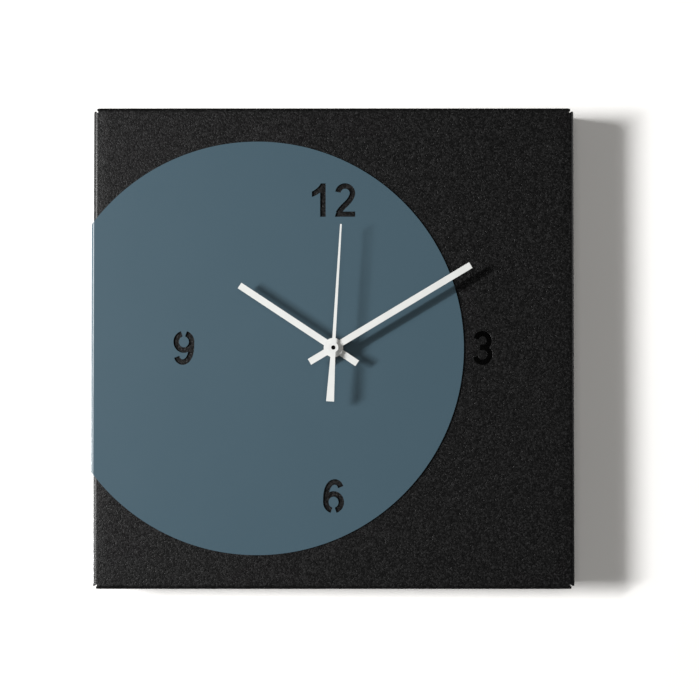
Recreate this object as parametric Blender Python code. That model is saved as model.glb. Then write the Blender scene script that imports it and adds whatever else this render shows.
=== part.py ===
"""Square wall clock: bent steel housing, round sheet-metal dial folded over its left edge, quartz movement.

Metres, +Z up. The dial faces -Y and the wall is the plane Y = 0. The origin is the centre of the screw that
the clock hangs on. Dimensions below are in millimetres, and heights are measured from the dial centre.
"""

import math

import bmesh
import bpy

MM = 0.001

# Housing
SIDE = 350.0
DEPTH = 40.0
SHEET = 1.5
BEND_OUTER = 3.3
CORNER_RELIEF = 0.2
FLANGE_END = 172.9
HANG_HEIGHT = 158.0

# Dial disc
DISC_RADIUS = 150.0
DISC_X = -55.5
DISC_SHEET = 1.0
DISC_BEND_OUTER = 2.5
STACK_GAP = 0.1
FOLD_STEPS = 6

# Numerals
NUMERAL_RISE = 107.4
NUMERAL_REACH = 108.6
STROKE = 4.0
BRIDGE_HALF_ANGLE = 15.5

# Hands: clock angles are degrees clockwise from twelve
HOUR_ANGLE = 303.5
MINUTE_ANGLE = 59.0
SECOND_ANGLE = 3.5
BLADE = 4.8
HUB_RADIUS = 6.95
HAND_SHEET = 0.5
HOUR_REACH = 81.0
HOUR_TAIL = 20.5
MINUTE_REACH = 115.0
MINUTE_TAIL = 20.0
SECOND_REACH = 88.6
SECOND_TAIL = 38.6
HOUR_HAND_Y = -50.6
MINUTE_HAND_Y = -53.0
SECOND_HAND_Y = -56.1

# Movement: depths are measured back from the front wall of its case
CASE_FRONT = -37.4
CASE_HALF = 28.0
CASE_WALL = 1.2
CASE_DEPTH = 14.3
BAY_DEPTH = 16.0
BAY_TOP = -11.5
TRAIN_FLOOR = -10.6
BATTERY_HEIGHT = -19.0
BATTERY_DEPTH = 8.6
BUSH_RADIUS = 4.0
BUSH_BORE = 2.6
BUSH_TIP = -46.4

# Gear train: teeth and modules
ROTOR_TEETH = 10
FIFTH_TEETH = 60
FIFTH_PINION_TEETH = 10
SECOND_TEETH = 50
SECOND_PINION_TEETH = 10
THIRD_TEETH = 80
THIRD_PINION_TEETH = 10
CENTRE_TEETH = 75
CANNON_TEETH = 14
MINUTE_TEETH = 42
MINUTE_PINION_TEETH = 12
HOUR_TEETH = 48
KNOB_TEETH = 14
FIFTH_MODULE = 0.25
SECOND_MODULE = 0.30
THIRD_MODULE = 0.25
CENTRE_MODULE = 22.5 / 85
CANNON_MODULE = 0.30
HOUR_MODULE = 0.28
TOOTH_PLAY = 0.05


def along(start, reach, degrees):
    """A point at a distance and direction from another, in the dial plane."""
    turn = math.radians(degrees)
    return (start[0] + reach * math.cos(turn), start[1] + reach * math.sin(turn))


# Arbor positions: direction of each from the one before it, in degrees from +X towards +Z
SHAFT = (0.0, 0.0)
THIRD_DIRECTION = 40.0
FIFTH_DIRECTION = 150.0
ROTOR_DIRECTION = 110.0
SETTING_DIRECTION = 90.0
THIRD_AT = along(SHAFT, THIRD_MODULE * (THIRD_TEETH + SECOND_PINION_TEETH) / 2, THIRD_DIRECTION)
FIFTH_AT = along(SHAFT, SECOND_MODULE * (SECOND_TEETH + FIFTH_PINION_TEETH) / 2, FIFTH_DIRECTION)
ROTOR_AT = along(FIFTH_AT, FIFTH_MODULE * (FIFTH_TEETH + ROTOR_TEETH) / 2, ROTOR_DIRECTION)
MINUTE_AT = along(SHAFT, CANNON_MODULE * (CANNON_TEETH + MINUTE_TEETH) / 2, SETTING_DIRECTION)
KNOB_AT = along(MINUTE_AT, CANNON_MODULE * (MINUTE_TEETH + KNOB_TEETH) / 2, SETTING_DIRECTION)

# Fixings inside the movement
BRIDGE_POSTS = ((-13.2, -8.3), (14.5, -8.3))
COIL_POSTS = ((-23.2, 22.6), (-3.8, 22.6))
BOARD_POSTS = ((6.5, 23.9), (23.8, 23.9))
COIL_HEIGHT = 22.6
COIL_DEPTH = 10.9

RIVET_X = 17.0
RIVET_Y = -14.0

for old in list(bpy.data.objects):
    bpy.data.objects.remove(old)

parts = bpy.data.collections.new("wall_clock")
bpy.context.scene.collection.children.link(parts)


def material(name, colour, roughness, metallic=0.0):
    made = bpy.data.materials.new(name)
    made.use_nodes = True
    shader = made.node_tree.nodes["Principled BSDF"]
    shader.inputs["Base Color"].default_value = (*colour, 1.0)
    shader.inputs["Roughness"].default_value = roughness
    shader.inputs["Metallic"].default_value = metallic
    made.diffuse_color = (*colour, 1.0)
    return made


def depth(back):
    """Y of a point this far back from the front wall of the movement case."""
    return CASE_FRONT + back


def linked(name, mesh):
    made = bpy.data.objects.new(name, mesh)
    parts.objects.link(made)
    return made


def from_bmesh(name, work):
    bmesh.ops.recalc_face_normals(work, faces=work.faces)
    mesh = bpy.data.meshes.new(name)
    work.to_mesh(mesh)
    work.free()
    return linked(name, mesh)


def in_space(axis, level, u, v):
    if axis == "Y":
        return (u * MM, level * MM, v * MM)
    if axis == "X":
        return (level * MM, u * MM, v * MM)
    return (u * MM, v * MM, level * MM)


def prism(outline, low, high, axis="Y", name="blank"):
    """A closed outline in the two directions across an axis, extruded along it."""
    work = bmesh.new()
    rings = []
    for level in (low, high):
        rings.append([work.verts.new(in_space(axis, level, u, v)) for u, v in outline])
    work.faces.new(rings[0])
    work.faces.new(rings[1])
    count = len(outline)
    for i in range(count):
        j = (i + 1) % count
        work.faces.new((rings[0][i], rings[0][j], rings[1][j], rings[1][i]))
    return from_bmesh(name, work)


def turned(profile, steps, axis="Y", centre=(0.0, 0.0), name="blank"):
    """A closed profile of (place along the axis, radius) pairs, revolved. Radius 0 is on the axis."""
    work = bmesh.new()
    rings = []
    for place, radius in profile:
        if radius == 0.0:
            rings.append([work.verts.new(in_space(axis, place, *centre))])
            continue
        ring = []
        for k in range(steps):
            turn = 2 * math.pi * k / steps
            u = centre[0] + radius * math.cos(turn)
            v = centre[1] + radius * math.sin(turn)
            ring.append(work.verts.new(in_space(axis, place, u, v)))
        rings.append(ring)
    for first, second in zip(rings, rings[1:] + rings[:1]):
        if len(first) == 1 and len(second) == 1:
            continue
        for k in range(steps):
            n = (k + 1) % steps
            corners = [first[k % len(first)], first[n % len(first)]]
            corners += [second[n % len(second)], second[k % len(second)]]
            kept = [c for i, c in enumerate(corners) if c not in corners[:i]]
            work.faces.new(kept)
    return from_bmesh(name, work)


def circle(radius, steps, centre=(0.0, 0.0), first=0.0):
    points = []
    for k in range(steps):
        points.append(along(centre, radius, first + 360.0 * k / steps))
    return points


def rectangle(left, right, bottom, top, radius=0.0, steps=4):
    if radius == 0.0:
        return [(left, bottom), (right, bottom), (right, top), (left, top)]
    points = []
    corners = ((right, top, 0), (left, top, 90), (left, bottom, 180), (right, bottom, 270))
    for x, z, start in corners:
        centre_x = x - math.copysign(radius, x - (left + right) / 2)
        centre_z = z - math.copysign(radius, z - (bottom + top) / 2)
        for k in range(steps + 1):
            points.append(along((centre_x, centre_z), radius, start + 90.0 * k / steps))
    return points


def ellipse_arc(centre, across, up, start, end, steps):
    points = []
    for k in range(steps + 1):
        turn = math.radians(start + (end - start) * k / steps)
        points.append((centre[0] + across * math.cos(turn), centre[1] + up * math.sin(turn)))
    return points


def ribbon(path, width):
    """The outline of a band of constant width whose middle follows a path."""
    left, right = [], []
    for i, (x, z) in enumerate(path):
        before = path[max(i - 1, 0)]
        after = path[min(i + 1, len(path) - 1)]
        ways = []
        for a, b in ((before, (x, z)), ((x, z), after)):
            long = math.hypot(b[0] - a[0], b[1] - a[1])
            if long > 0:
                ways.append(((b[0] - a[0]) / long, (b[1] - a[1]) / long))
        across = (-sum(w[1] for w in ways), sum(w[0] for w in ways))
        size = math.hypot(*across)
        across = (across[0] / size, across[1] / size)
        lean = -ways[0][1] * across[0] + ways[0][0] * across[1]
        reach = width / 2 / lean
        left.append((x + across[0] * reach, z + across[1] * reach))
        right.append((x - across[0] * reach, z - across[1] * reach))
    return left + right[::-1]


def shifted(points, x, z):
    return [(u + x, v + z) for u, v in points]


def turned_about(points, degrees):
    turn = math.radians(degrees)
    c, s = math.cos(turn), math.sin(turn)
    return [(u * c - v * s, u * s + v * c) for u, v in points]


def evaluated(shape):
    graph = bpy.context.evaluated_depsgraph_get()
    graph.update()
    return bpy.data.meshes.new_from_object(shape.evaluated_get(graph))


def combined(base, add=(), cut=()):
    """The base with other shapes joined to it and cut from it, as one mesh. The shapes are used up."""
    jobs = [(shape, "UNION") for shape in add] + [(shape, "DIFFERENCE") for shape in cut]
    for shape, operation in jobs:
        step = base.modifiers.new(operation.title(), "BOOLEAN")
        step.operation = operation
        step.solver = "EXACT"
        step.object = shape
    mesh = evaluated(base)
    base.modifiers.clear()
    base.data = mesh
    for shape, _ in jobs:
        bpy.data.objects.remove(shape)
    return base


def finished(shape, name, finish, centre=SHAFT, sharp=32.0):
    """Name a shape, colour it and put it in place. Its own origin is its centre in the dial plane."""
    shape.name = name
    shape.data.name = name
    shape.data.materials.clear()
    shape.data.materials.append(finish)
    shape.data.shade_smooth()
    shape.data.set_sharp_from_angle(angle=math.radians(sharp))
    shape.location = (centre[0] * MM, 0.0, (centre[1] - HANG_HEIGHT) * MM)
    return shape


def folded(shape, bend_line, outer_radius, sheet, front, sides):
    """Fold the margins of a flat sheet back by a right angle.

    Each margin past the bend line rolls round the bend and then runs straight back to the wall.
    """
    middle = outer_radius - sheet / 2
    arc = middle * math.pi / 2
    work = bmesh.new()
    work.from_mesh(shape.data)
    for axis, sign in sides:
        for k in range(FOLD_STEPS + 1):
            place = (bend_line + arc * k / FOLD_STEPS) * sign * MM
            point = (place, 0, 0) if axis == 0 else (0, 0, place)
            normal = (1, 0, 0) if axis == 0 else (0, 0, 1)
            everything = list(work.verts) + list(work.edges) + list(work.faces)
            bmesh.ops.bisect_plane(work, geom=everything, dist=1e-7, plane_co=point, plane_no=normal)
    for vert in work.verts:
        x, y, z = vert.co.x / MM, vert.co.y / MM, vert.co.z / MM
        axis = 0 if abs(x) > abs(z) else 1
        place = x if axis == 0 else z
        sign = math.copysign(1, place)
        past = abs(place) - bend_line
        if past <= 1e-6 or (axis, int(sign)) not in sides:
            continue
        inward = y - front
        radius = outer_radius - inward
        turn = min(past, arc) / middle
        out = bend_line + radius * math.sin(turn)
        back = front + outer_radius - radius * math.cos(turn) + max(past - arc, 0.0)
        if axis == 0:
            vert.co.x = out * sign * MM
        else:
            vert.co.z = out * sign * MM
        vert.co.y = back * MM
    work.to_mesh(shape.data)
    work.free()
    return shape


def gear(teeth, module, phase, low, high, pinion=False):
    """A toothed disc. Phase is the direction of one tooth, in degrees."""
    pitch = module * teeth / 2
    half = math.pi / teeth / 2 - TOOTH_PLAY / pitch / 4
    if pinion:
        tip = pitch + 0.62 * module
        root = pitch - 1.2 * module
        flank = [(-half, root), (-half, pitch), (-0.42 * half, tip)]
        flank += [(0.42 * half, tip), (half, pitch), (half, root)]
    else:
        tip = pitch + 0.9 * module
        root = pitch - 0.95 * module
        flank = [(-1.12 * half, root), (-0.4 * half, tip), (0.4 * half, tip), (1.12 * half, root)]
    outline = []
    for k in range(teeth):
        middle = math.radians(phase) + 2 * math.pi * k / teeth
        for turn, radius in flank:
            outline.append((radius * math.cos(middle + turn), radius * math.sin(middle + turn)))
    return prism(outline, low, high)


def in_mesh(phase, teeth, direction, next_teeth):
    """The phase of the gear that meshes with another, which lies in a direction from it."""
    part_way = (direction - phase) * teeth / 360.0
    return direction + 180.0 - 360.0 / next_teeth * (0.5 - part_way)


def screw(at, head_low, tip, name, finish, head_radius=1.3, shank=0.65):
    """A small slotted pan-head screw that points forward."""
    body = turned(
        (
            (depth(tip), 0.0),
            (depth(tip), shank * 0.6),
            (depth(tip + 0.5), shank),
            (depth(head_low), shank),
            (depth(head_low), head_radius),
            (depth(head_low + 0.5), head_radius),
            (depth(head_low + 0.8), head_radius * 0.75),
            (depth(head_low + 0.8), 0.0),
        ),
        12,
    )
    slot = prism(rectangle(-0.18, 0.18, -2, 2), depth(head_low + 0.45), depth(head_low + 2))
    return finished(combined(body, cut=(slot,)), name, finish, at)


black_paint = material("black_paint", (0.02, 0.02, 0.021), 0.62)
blue_paint = material("blue_paint", (0.077, 0.129, 0.153), 0.45)
white_paint = material("white_paint", (0.8, 0.8, 0.78), 0.4)
zinc = material("zinc", (0.55, 0.56, 0.57), 0.35, 1.0)
brass = material("brass", (0.6, 0.45, 0.2), 0.3, 1.0)
steel = material("steel", (0.5, 0.5, 0.5), 0.3, 1.0)
rubber = material("rubber", (0.02, 0.02, 0.02), 0.85)
case_plastic = material("case_plastic", (0.03, 0.03, 0.032), 0.5)
gear_plastic = material("gear_plastic", (0.75, 0.72, 0.62), 0.45)
white_plastic = material("white_plastic", (0.8, 0.8, 0.78), 0.5)
amber_plastic = material("amber_plastic", (0.55, 0.38, 0.15), 0.45)
copper = material("copper", (0.6, 0.25, 0.12), 0.35, 1.0)
silicon_steel = material("silicon_steel", (0.42, 0.43, 0.45), 0.4, 1.0)
magnet = material("magnet", (0.1, 0.1, 0.11), 0.55, 0.4)
board = material("board", (0.03, 0.16, 0.07), 0.5)
resin = material("resin", (0.015, 0.015, 0.015), 0.4)
nickel = material("nickel", (0.62, 0.6, 0.55), 0.25, 1.0)
cell_wrap = material("cell_wrap", (0.05, 0.05, 0.06), 0.35)


# Numerals, each a list of outlines in millimetres about the numeral's own centre

ONE = [
    (-15.8, 2.3),
    (-15.8, 6.2),
    (-12.9, 8.0),
    (-10.6, 10.1),
    (-9.2, 12.2),
    (-5.8, 12.2),
    (-5.8, -12.1),
    (-9.8, -12.1),
    (-9.8, 5.6),
    (-12.7, 3.6),
]
TWO_SPINE = ellipse_arc((8.4, 5.1), 5.3, 5.2, 172, -18, 14)
TWO_SPINE += [(12.6, 1.5), (11.2, -0.6), (9.1, -2.8), (6.8, -5.0), (4.7, -7.4), (3.3, -9.6)]
TWO = [
    ribbon(TWO_SPINE, STROKE),
    [(0.9, -12.1), (15.7, -12.1), (15.7, -8.3), (4.9, -8.3), (1.8, -9.2)],
]
THREE = [
    ribbon(ellipse_arc((-0.3, 5.3), 4.8, 5.1, 166, -90, 18), STROKE),
    ribbon(ellipse_arc((-0.3, -4.9), 5.3, 5.5, 90, -166, 18), STROKE),
    rectangle(-2.3, 0.2, -1.6, 2.3),
]
SIX_STEM = [(-5.6, -4.4), (-5.55, -0.5), (-5.2, 2.8), (-4.4, 5.8), (-3.0, 8.3), (-1.1, 9.9), (1.0, 10.4)]
SIX_STEM += [(3.0, 9.8), (4.5, 8.3), (5.2, 6.5)]
SIX = [
    ribbon(ellipse_arc((0, -4.4), 5.6, 6.0, -90 + BRIDGE_HALF_ANGLE, 270 - BRIDGE_HALF_ANGLE, 28), STROKE),
    ribbon(SIX_STEM, STROKE),
]
NINE = [turned_about(outline, 180) for outline in SIX]


def numeral_cutters(outlines, x, z, low, high):
    return [prism(shifted(outline, x, z), low, high) for outline in outlines]


def rivet_cutters():
    profile = ((165, 0), (165, 2.15), (185, 2.15), (185, 0))
    return [turned(profile, 16, "Z", (side * RIVET_X, RIVET_Y)) for side in (-1, 1)]


# Housing: one sheet, cut flat and folded on all four sides

FRONT = -DEPTH
bend_line = SIDE / 2 - BEND_OUTER
bend_arc = (BEND_OUTER - SHEET / 2) * math.pi / 2
flange_edge = bend_line + bend_arc + DEPTH - BEND_OUTER
step_out = bend_line + bend_arc + 0.6
inner_corner = bend_line - CORNER_RELIEF
quarter = [
    (flange_edge, FLANGE_END),
    (step_out, FLANGE_END),
    (step_out, inner_corner),
    (inner_corner, inner_corner),
    (inner_corner, step_out),
    (FLANGE_END, step_out),
    (FLANGE_END, flange_edge),
]
pattern = []
for quarter_turn in (0, 90, 180, 270):
    pattern += turned_about(quarter, quarter_turn)
housing = prism(pattern, FRONT, FRONT + SHEET)
housing_cuts = numeral_cutters(THREE, NUMERAL_REACH, 0, FRONT - 2, FRONT + 4)
housing_cuts.append(prism(circle(BUSH_RADIUS + 0.25, 32), FRONT - 2, FRONT + 4))
combined(housing, cut=housing_cuts)
folded(housing, bend_line, BEND_OUTER, SHEET, FRONT, [(0, -1), (0, 1), (1, -1), (1, 1)])
combined(housing, cut=rivet_cutters())
finished(housing, "housing", black_paint)


# Dial disc: laid on the housing, with its left segment folded back round the left edge

disc_back = FRONT - STACK_GAP
disc_front = disc_back - DISC_SHEET
dial_disc = prism(circle(DISC_RADIUS, 144, (DISC_X, 0)), disc_front, disc_back)
disc_cuts = numeral_cutters([ONE] + TWO, 0, NUMERAL_RISE, disc_front - 2, disc_back + 2)
disc_cuts += numeral_cutters(SIX, 0, -NUMERAL_RISE, disc_front - 2, disc_back + 2)
disc_cuts += numeral_cutters(NINE, -NUMERAL_REACH, 0, disc_front - 2, disc_back + 2)
disc_cuts.append(prism(circle(BUSH_RADIUS + 0.2, 32), disc_front - 2, disc_back + 2))
combined(dial_disc, cut=disc_cuts)
disc_bend_line = SIDE / 2 + STACK_GAP + DISC_SHEET - DISC_BEND_OUTER
folded(dial_disc, disc_bend_line, DISC_BEND_OUTER, DISC_SHEET, disc_front, [(0, -1)])
finished(dial_disc, "dial_disc", blue_paint)


# Hanger: a bent bracket riveted under the top of the housing, with a keyhole for the wall screw

leg_z = SIDE / 2 - SHEET - STACK_GAP - 0.6
hook = [(-24.0, leg_z)]
hook += [along((-3.4, leg_z - 2.3), 2.3, 90 - 15 * k) for k in range(7)]
hook += [(-1.1, 141.0)]
hanger = prism(ribbon(hook, 1.2), -25, 25, "X")
hanger_cuts = [
    prism(circle(4.6, 32, (0, HANG_HEIGHT - 9)), -10, 5),
    prism(rectangle(-2.3, 2.3, HANG_HEIGHT - 9, HANG_HEIGHT + 2.3, 2.29, 6), -10, 5),
]
combined(hanger, cut=hanger_cuts + rivet_cutters())
finished(hanger, "hanger_bracket", zinc)
for side, label in ((-1, "left"), (1, "right")):
    top = SIDE / 2
    low = leg_z - 0.6
    rivet = turned(
        (
            (low - 1.2, 0),
            (low - 1.0, 1.8),
            (low - 0.1, 2.9),
            (low - 0.1, 2.0),
            (top + 0.1, 2.0),
            (top + 0.1, 3.6),
            (top + 0.6, 3.0),
            (top + 0.95, 1.5),
            (top + 1.0, 0),
        ),
        16,
        "Z",
        (side * RIVET_X, RIVET_Y),
    )
    finished(rivet, "hanger_rivet_" + label, steel)


# Movement case and what clamps it

case = prism(rectangle(-CASE_HALF, CASE_HALF, -CASE_HALF, CASE_HALF, 2.0), depth(0), depth(CASE_DEPTH))
bay = prism(rectangle(-CASE_HALF, CASE_HALF, -CASE_HALF, TRAIN_FLOOR, 2.0), depth(0.5), depth(BAY_DEPTH))
inner = CASE_HALF - CASE_WALL
pockets = [
    prism(rectangle(-inner, inner, TRAIN_FLOOR, inner, 1.0), depth(CASE_WALL), depth(30)),
    prism(rectangle(-inner, inner, -inner, BAY_TOP, 1.0), depth(CASE_WALL), depth(30)),
    prism(circle(BUSH_RADIUS + 0.12, 32), depth(-5), depth(5)),
]
for side in (-1, 1):
    notch = rectangle(side * 26.35 - 0.45, side * 26.35 + 0.45, -13, -9)
    pockets.append(prism(notch, depth(10.6), depth(30)))
combined(case, add=(bay,), cut=pockets)


def rod(at, radius, low, high, steps):
    profile = ((depth(low), 0), (depth(low), radius), (depth(high), radius), (depth(high), 0))
    return turned(profile, steps, "Y", at)


posts = [rod(MINUTE_AT, 0.65, 0.8, 4.0, 12)]
pivots = []
tall = [(at, 1.8, 11.8, 6.5, 0.72) for at in BRIDGE_POSTS]
tall += [(at, 1.5, 9.2, 5.5, 0.72) for at in COIL_POSTS]
tall += [(at, 1.5, 12.1, 8.5, 0.72) for at in BOARD_POSTS]
tall += [(ROTOR_AT, 1.5, 7.0, 5.6, 0.48)]
tall += [(THIRD_AT, 1.5, 2.6, 1.0, 0.58), (KNOB_AT, 1.8, 2.6, 1.0, 1.1)]
for at, radius, top, hole_bottom, hole in tall:
    posts.append(rod(at, radius, 0.8, top, 12))
    pivots.append(rod(at, hole, hole_bottom, 30, 10))
combined(case, add=posts, cut=pivots)
finished(case, "movement_case", case_plastic)

cover_outline = rectangle(-CASE_HALF, CASE_HALF, TRAIN_FLOOR + 0.1, CASE_HALF, 2.0)
cover = prism(cover_outline, depth(CASE_DEPTH + 0.1), depth(BAY_DEPTH))
lip = prism(rectangle(-26.6, 26.6, -10.3, 26.6, 0.9), depth(13.4), depth(15))
lip_inside = prism(rectangle(-26.1, 26.1, -9.8, 26.1, 0.6), depth(12), depth(CASE_DEPTH + 0.1))
knob_hole = prism(circle(1.35, 20, KNOB_AT), depth(10), depth(20))
thumb_recess = prism(rectangle(-9, 9, -16, -7.9, 2.0), depth(15.2), depth(20))
combined(cover, add=(lip,), cut=(lip_inside, knob_hole, thumb_recess))
finished(cover, "movement_cover", case_plastic)

bush_profile = [(depth(1.55), BUSH_BORE), (depth(1.55), 5.2), (depth(1.25), 5.2), (depth(1.25), BUSH_RADIUS)]
bush_profile.append((FRONT + SHEET, BUSH_RADIUS))
thread_start = disc_front - 0.4
threads = 5
pitch = (thread_start - BUSH_TIP - 0.4) / threads
for k in range(threads):
    bush_profile.append((thread_start - pitch * k, BUSH_RADIUS))
    bush_profile.append((thread_start - pitch * (k + 0.5), BUSH_RADIUS - 0.35))
bush_profile.append((thread_start - pitch * threads, BUSH_RADIUS))
bush_profile += [(BUSH_TIP, BUSH_RADIUS - 0.3), (BUSH_TIP, BUSH_BORE)]
finished(turned(bush_profile, 24), "threaded_bush", brass)

gasket_profile = ((-38.4, 4.3), (-38.4, 12.0), (-37.5, 12.0), (-37.5, 4.3))
finished(turned(gasket_profile, 32), "rubber_gasket", rubber)
washer_front = disc_front - STACK_GAP - 0.6
washer_back = washer_front + 0.6
washer_profile = ((washer_front, 4.2), (washer_front, 6.4), (washer_back, 6.4), (washer_back, 4.2))
finished(turned(washer_profile, 32), "flat_washer", brass)
nut_back = washer_front - STACK_GAP
nut = prism(circle(7.5, 6, first=30), nut_back - 2.4, nut_back)
nut_edge = turned(
    (
        (nut_back - 3, 0),
        (nut_back - 3, 5.4),
        (nut_back - 2.4, 6.6),
        (nut_back - 1.8, 7.8),
        (nut_back - 0.6, 7.8),
        (nut_back, 6.7),
        (nut_back + 1, 5.0),
        (nut_back + 1, 0),
    ),
    48,
)
crop = nut.modifiers.new("Chamfer", "BOOLEAN")
crop.operation = "INTERSECT"
crop.solver = "EXACT"
crop.object = nut_edge
nut.data = evaluated(nut)
nut.modifiers.clear()
bpy.data.objects.remove(nut_edge)
combined(nut, cut=(prism(circle(BUSH_RADIUS + 0.06, 32), -60, -30),))
finished(nut, "fixing_nut", brass)


# Plate that carries the rear ends of the arbors

bridge = prism(rectangle(-14.6, 16.2, -9.8, 15.4, 1.5), depth(11.9), depth(12.9))
fifth_pin = rod(FIFTH_AT, 0.55, 6.6, 12.4, 12)
bridge_holes = [prism(circle(0.85, 16, at), depth(10), depth(20)) for at in BRIDGE_POSTS]
for at, radius in ((SHAFT, 0.58), (THIRD_AT, 0.58), (ROTOR_AT, 0.48)):
    bridge_holes.append(prism(circle(radius, 16, at), depth(10), depth(20)))
combined(bridge, add=(fifth_pin,), cut=bridge_holes)
finished(bridge, "gear_bridge", white_plastic)
screw(BRIDGE_POSTS[0], 13.0, 7.2, "bridge_screw_left", steel)
screw(BRIDGE_POSTS[1], 13.0, 7.2, "bridge_screw_right", steel)


# Motor: coil on its bobbin and core, stator, and the magnet rotor with its pinion

stator = prism(rectangle(-24.9, -2.3, 10.2, 15.2), depth(9.3), depth(10.3))
stator_adds = [prism(circle(5.6, 40, ROTOR_AT), depth(9.3), depth(10.3))]
for left, right in ((-24.9, -21.5), (-5.4, -2.3)):
    stator_adds.append(prism(rectangle(left, right, 11, 24.2), depth(9.3), depth(10.3)))
stator_cuts = [prism(circle(3.65, 32, ROTOR_AT), depth(8), depth(12))]
for at in COIL_POSTS:
    stator_cuts.append(prism(circle(0.85, 16, at), depth(8), depth(12)))
for direction in (75, 255):
    stator_cuts.append(prism(circle(0.8, 12, along(ROTOR_AT, 5.9, direction)), depth(8), depth(12)))
combined(stator, add=stator_adds, cut=stator_cuts)
finished(stator, "stator", silicon_steel)

core = prism(rectangle(-24.9, -2.3, COIL_HEIGHT - 1.5, COIL_HEIGHT + 1.5, 0.5, 2), depth(10.4), depth(11.4))
core_holes = [prism(circle(0.85, 16, at), depth(8), depth(14)) for at in COIL_POSTS]
combined(core, cut=core_holes)
finished(core, "coil_core", silicon_steel)

coil_y = depth(COIL_DEPTH)


def coil_box(half_y, half_z, radius=0.0):
    return rectangle(coil_y - half_y, coil_y + half_y, COIL_HEIGHT - half_z, COIL_HEIGHT + half_z, radius, 4)


bobbin = prism(coil_box(1.6, 2.2), -21.0, -5.9, "X")
bobbin_ends = [
    prism(coil_box(3.1, 3.1, 0.8), -21.2, -20.4, "X"),
    prism(coil_box(3.1, 3.1, 0.8), -6.5, -5.7, "X"),
]
combined(bobbin, add=bobbin_ends, cut=(prism(coil_box(0.75, 1.7), -30, 5, "X"),))
finished(bobbin, "coil_bobbin", amber_plastic)
winding = prism(coil_box(2.85, 2.85, 1.2), -20.3, -6.6, "X")
combined(winding, cut=(prism(coil_box(1.7, 2.3), -30, 5, "X"),))
finished(winding, "coil_winding", copper)
screw(COIL_POSTS[0], 11.5, 6.2, "coil_screw_left", steel)
screw(COIL_POSTS[1], 11.5, 6.2, "coil_screw_right", steel)

fifth_wheel_phase = 0.0
rotor_phase = in_mesh(fifth_wheel_phase, FIFTH_TEETH, ROTOR_DIRECTION, ROTOR_TEETH)
rotor_pinion = gear(ROTOR_TEETH, FIFTH_MODULE, rotor_phase, depth(7.8), depth(8.9), True)
rotor_arbor = turned(
    (
        (depth(6.0), 0),
        (depth(6.0), 0.4),
        (depth(7.3), 0.4),
        (depth(7.3), 0.9),
        (depth(8.0), 0.9),
        (depth(8.6), 1.0),
        (depth(11.6), 1.0),
        (depth(11.6), 0.4),
        (depth(12.7), 0.4),
        (depth(12.7), 0),
    ),
    12,
)
combined(rotor_pinion, add=(rotor_arbor,))
finished(rotor_pinion, "rotor_pinion", gear_plastic, ROTOR_AT)
magnet_profile = ((depth(9.1), 1.1), (depth(9.1), 3.2), (depth(11.4), 3.2), (depth(11.4), 1.1))
finished(turned(magnet_profile, 28), "rotor_magnet", magnet, ROTOR_AT)


# Running train: fifth wheel, second wheel, third wheel and centre wheel

second_wheel_phase = 0.0
fifth_pinion_phase = in_mesh(second_wheel_phase, SECOND_TEETH, FIFTH_DIRECTION, FIFTH_PINION_TEETH)
fifth = gear(FIFTH_TEETH, FIFTH_MODULE, fifth_wheel_phase, depth(8.0), depth(8.9))
fifth_pinion = gear(FIFTH_PINION_TEETH, SECOND_MODULE, fifth_pinion_phase, depth(6.8), depth(7.8), True)
fifth_hub = turned(((depth(7.6), 0), (depth(7.6), 1.1), (depth(9.2), 1.1), (depth(9.2), 0)), 16)
fifth_bore = prism(circle(0.64, 16), depth(5), depth(12))
combined(fifth, add=(fifth_pinion, fifth_hub), cut=(fifth_bore,))
finished(fifth, "fifth_wheel", gear_plastic, FIFTH_AT)

second_pinion_phase = 0.0
second = gear(SECOND_TEETH, SECOND_MODULE, second_wheel_phase, depth(6.8), depth(7.7))
second_pinion = gear(SECOND_PINION_TEETH, THIRD_MODULE, second_pinion_phase, depth(5.5), depth(6.5), True)
second_arbor = turned(
    (
        (SECOND_HAND_Y + 0.5, 0),
        (SECOND_HAND_Y + 0.5, 0.5),
        (depth(5.7), 0.5),
        (depth(6.3), 0.9),
        (depth(8.3), 0.9),
        (depth(8.3), 0.5),
        (depth(12.7), 0.5),
        (depth(12.7), 0),
    ),
    16,
)
combined(second, add=(second_pinion, second_arbor))
finished(second, "second_wheel", gear_plastic)

third_pinion_phase = 0.0
third_wheel_phase = in_mesh(second_pinion_phase, SECOND_PINION_TEETH, THIRD_DIRECTION, THIRD_TEETH)
third = gear(THIRD_TEETH, THIRD_MODULE, third_wheel_phase, depth(5.5), depth(6.4))
third_pinion = gear(THIRD_PINION_TEETH, CENTRE_MODULE, third_pinion_phase, depth(4.2), depth(5.3), True)
third_arbor = turned(
    (
        (depth(1.2), 0),
        (depth(1.2), 0.5),
        (depth(2.9), 0.5),
        (depth(2.9), 0.85),
        (depth(5.0), 0.85),
        (depth(5.3), 1.1),
        (depth(7.2), 1.1),
        (depth(7.2), 0.5),
        (depth(12.7), 0.5),
        (depth(12.7), 0),
    ),
    16,
)
combined(third, add=(third_pinion, third_arbor))
finished(third, "third_wheel", gear_plastic, THIRD_AT)

centre_phase = in_mesh(third_pinion_phase, THIRD_PINION_TEETH, THIRD_DIRECTION + 180, CENTRE_TEETH)
centre = gear(CENTRE_TEETH, CENTRE_MODULE, centre_phase, depth(4.2), depth(5.2))
combined(centre, cut=(prism(circle(1.36, 24), depth(3), depth(7)),))
finished(centre, "centre_wheel", gear_plastic)


# Hand-setting train: cannon pinion, minute wheel, hour wheel and setting knob

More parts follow.
